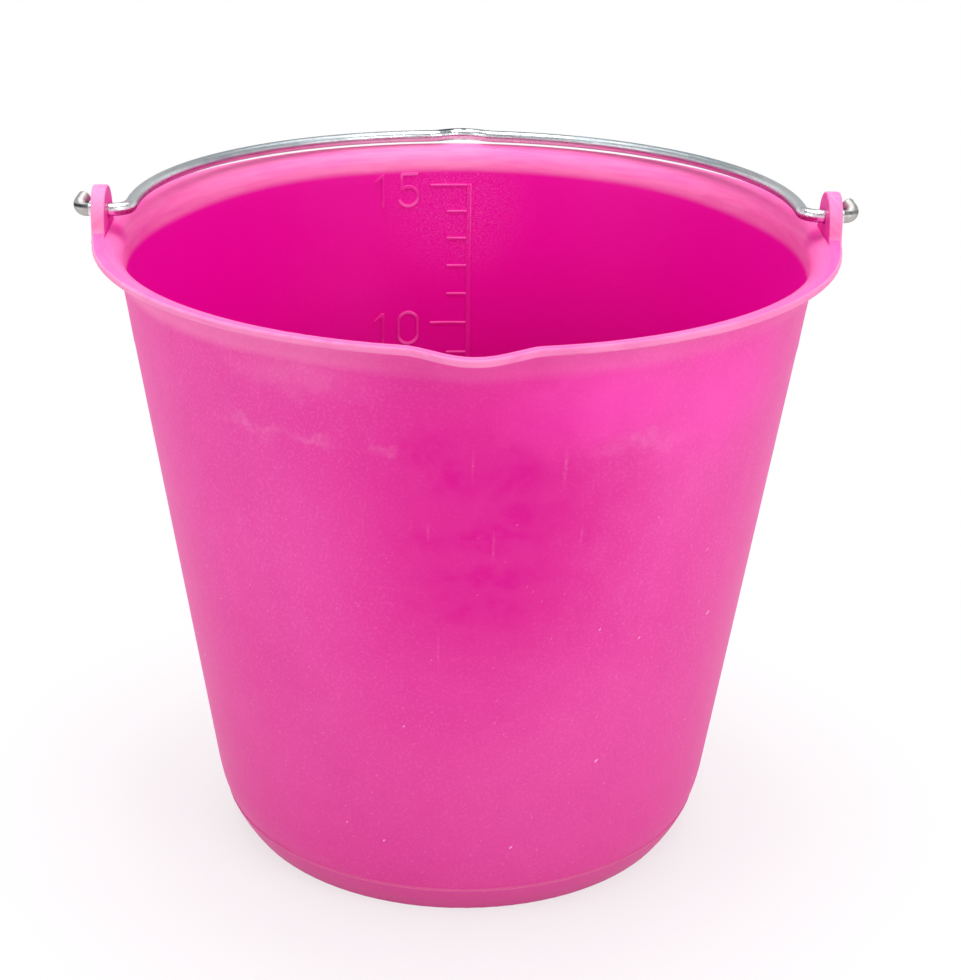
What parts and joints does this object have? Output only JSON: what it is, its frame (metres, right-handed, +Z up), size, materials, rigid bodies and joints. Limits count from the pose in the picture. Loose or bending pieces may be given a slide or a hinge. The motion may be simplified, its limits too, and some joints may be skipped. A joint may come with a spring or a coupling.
{
  "type": "spouted bucket",
  "caption": "Tapered moulded plastic bucket with a pouring spout, a raised litre scale inside and a wire bail that swings in upright ears.",
  "frame": {"origin": "middle of the foot ring, on the ground it stands on", "axes": "+Z up along the bucket's axis, -Y towards the spout, the bail's pivots at +X and -X, the bail folded back towards +Y"},
  "size_m": [0.3576, 0.3567, 0.312],
  "materials": {
    "pink_plastic": "semi-matte moulded polyethylene, bright pink, fine specks and light scuffs",
    "plated_wire": "bright zinc-plated round wire"
  },
  "bodies": {
    "bucket": {"bucket_body": "pink_plastic"},
    "bail": {"wire_bail": "plated_wire"}
  },
  "joints": [
    {"name": "bail_pivot", "type": "hinge", "parent": "bucket", "child": "bail", "pos_m": [0, 0, 0.3008], "axis": [1, 0, 0], "range_deg": [0, 182.8]}
  ]
}
